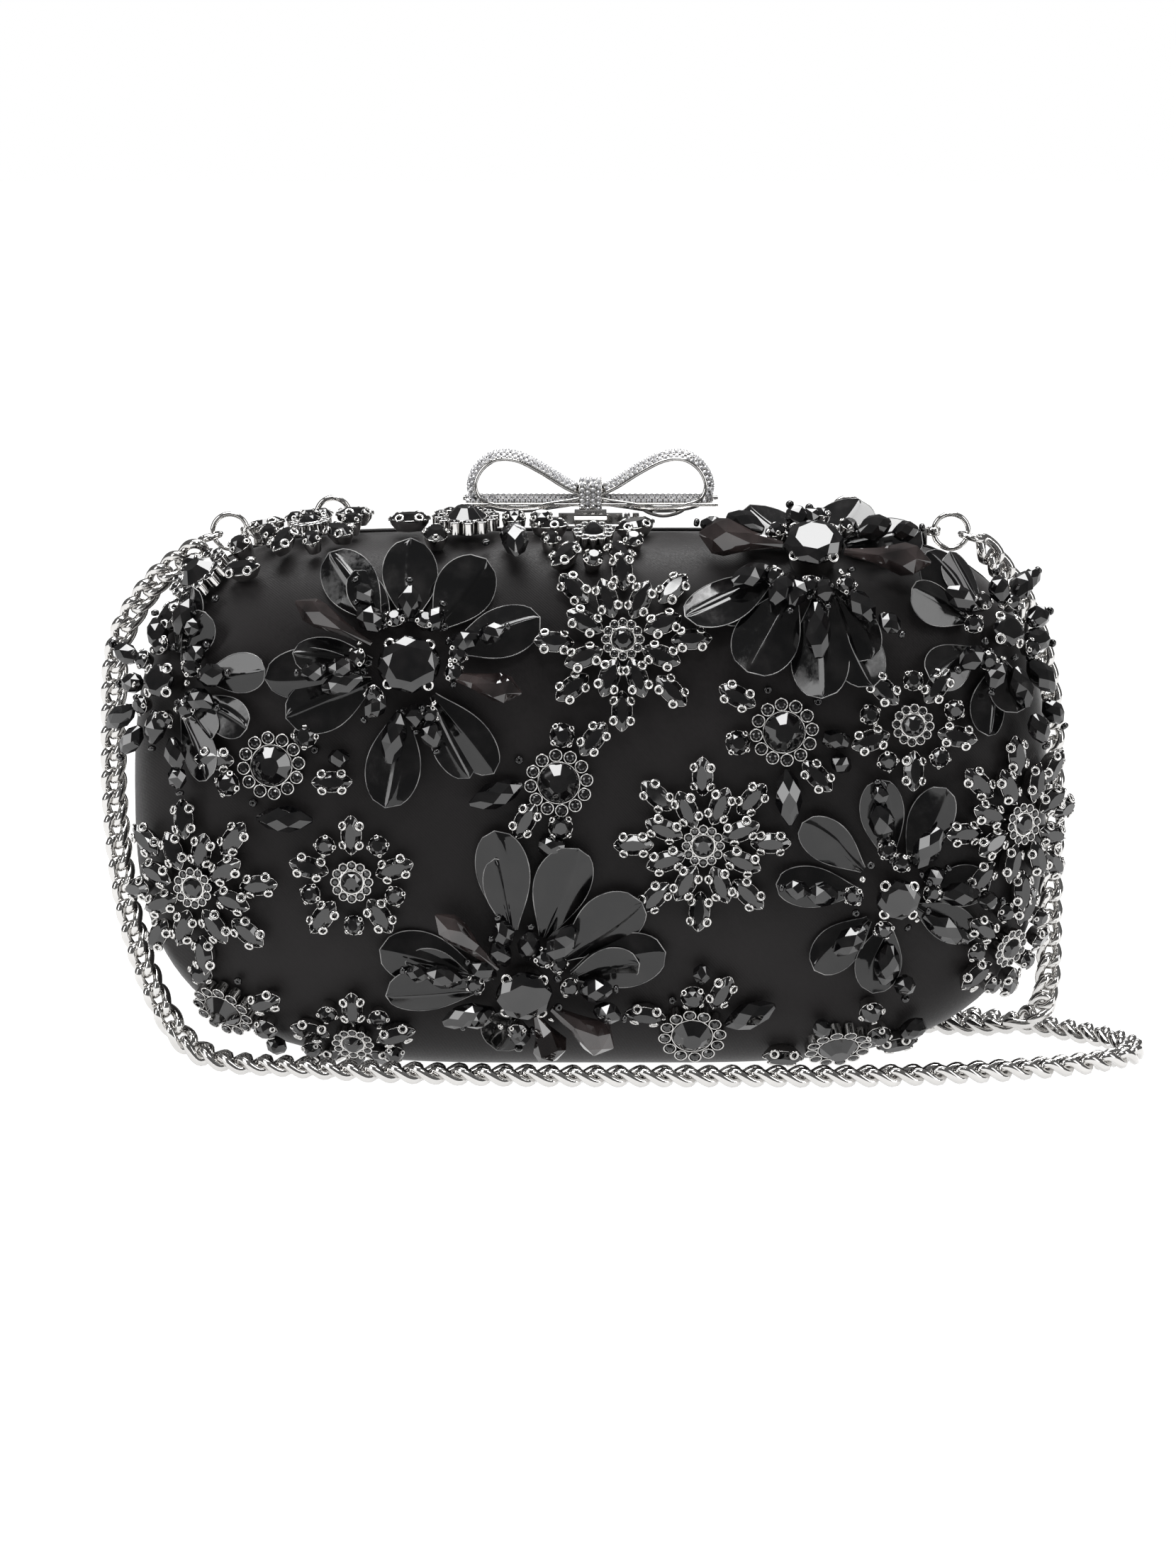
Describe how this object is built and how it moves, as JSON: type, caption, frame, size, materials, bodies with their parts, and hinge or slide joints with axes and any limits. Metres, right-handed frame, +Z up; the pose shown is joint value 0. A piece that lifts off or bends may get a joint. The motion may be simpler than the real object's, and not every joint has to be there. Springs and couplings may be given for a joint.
{
  "type": "evening bag",
  "caption": "Hinged box clutch in black satin with a sprung bow clasp, jet stone flowers on its front and a silver curb chain strap.",
  "frame": {"origin": "centre of the bag's footprint on the surface that it stands on, strap left out", "axes": "+X across the bag to the viewer's right, +Y from the flowered front to the back, +Z up"},
  "size_m": [0.2257, 0.0885, 0.1336],
  "materials": {
    "satin": "black satin with a fine rib",
    "board": "moulded stiff shell",
    "lining": "dark grey satin lining",
    "silver": "polished silver plate",
    "crystal_pave": "silver plate set with small clear crystals",
    "steel": "plain drawn wire",
    "jet": "faceted jet stones, glossy sequins and silver claws"
  },
  "bodies": {
    "rear_half": {"rear_cover": "satin", "rear_shell": "board", "rear_lining": "lining", "rear_frame": "silver", "hinge_pin": "steel", "slip_pocket": "lining", "clasp_base": "silver", "clasp_pin": "steel", "clasp_spring": "steel", "strap_lug_left": "silver", "strap_lug_right": "silver", "spare_loop_left": "silver", "spare_loop_right": "silver", "chain_strap": "silver"},
    "front_half": {"front_cover": "satin", "front_shell": "board", "front_lining": "lining", "front_frame": "silver", "catch_block": "silver", "petal_flower_upper_left": "jet", "petal_flower_upper_right": "jet", "petal_flower_lower_left": "jet", "petal_flower_lower_right": "jet", "petal_flower_left_side": "jet", "petal_flower_right_side": "jet", "snowflake_top": "jet", "snowflake_centre": "jet", "snowflake_left": "jet", "snowflake_right": "jet", "star_left": "jet", "star_right": "jet", "star_top_left": "jet", "star_top": "jet", "star_bottom_left": "jet", "star_lower_right": "jet", "rosette_left": "jet", "rosette_centre": "jet", "rosette_right": "jet", "rosette_top": "jet", "rosette_upper_left": "jet", "rosette_lower_left": "jet", "rosette_bottom": "jet", "rosette_bottom_right": "jet"},
    "bow_clasp": {"clasp_lever": "silver", "bow_ribbon": "crystal_pave", "bow_knot": "crystal_pave"},
    "ring_left": {"strap_ring_left": "silver", "chain_end_left": "silver"},
    "ring_right": {"strap_ring_right": "silver", "chain_end_right": "silver"}
  },
  "joints": [
    {"name": "main_hinge", "type": "hinge", "parent": "rear_half", "child": "front_half", "pos_m": [0, 0.005, 0.0018], "axis": [1, 0, 0], "range_deg": [0, 75], "deforming": ["chain_strap"]},
    {"name": "clasp_tilt", "type": "hinge", "parent": "rear_half", "child": "bow_clasp", "pos_m": [0, 0.00665, 0.1189], "axis": [-1, 0, 0], "range_deg": [0, 16], "stiffness_Nm_per_rad": 0.02, "springref_deg": -28.65},
    {"name": "ring_left_swivel", "type": "hinge", "parent": "rear_half", "child": "ring_left", "pos_m": [-0.0751, 0.00645, 0.11618], "axis": [0, 0, 1], "range_deg": [-60, 60]},
    {"name": "ring_right_swivel", "type": "hinge", "parent": "rear_half", "child": "ring_right", "pos_m": [0.0751, 0.00645, 0.11618], "axis": [0, 0, 1], "range_deg": [-60, 60]}
  ]
}
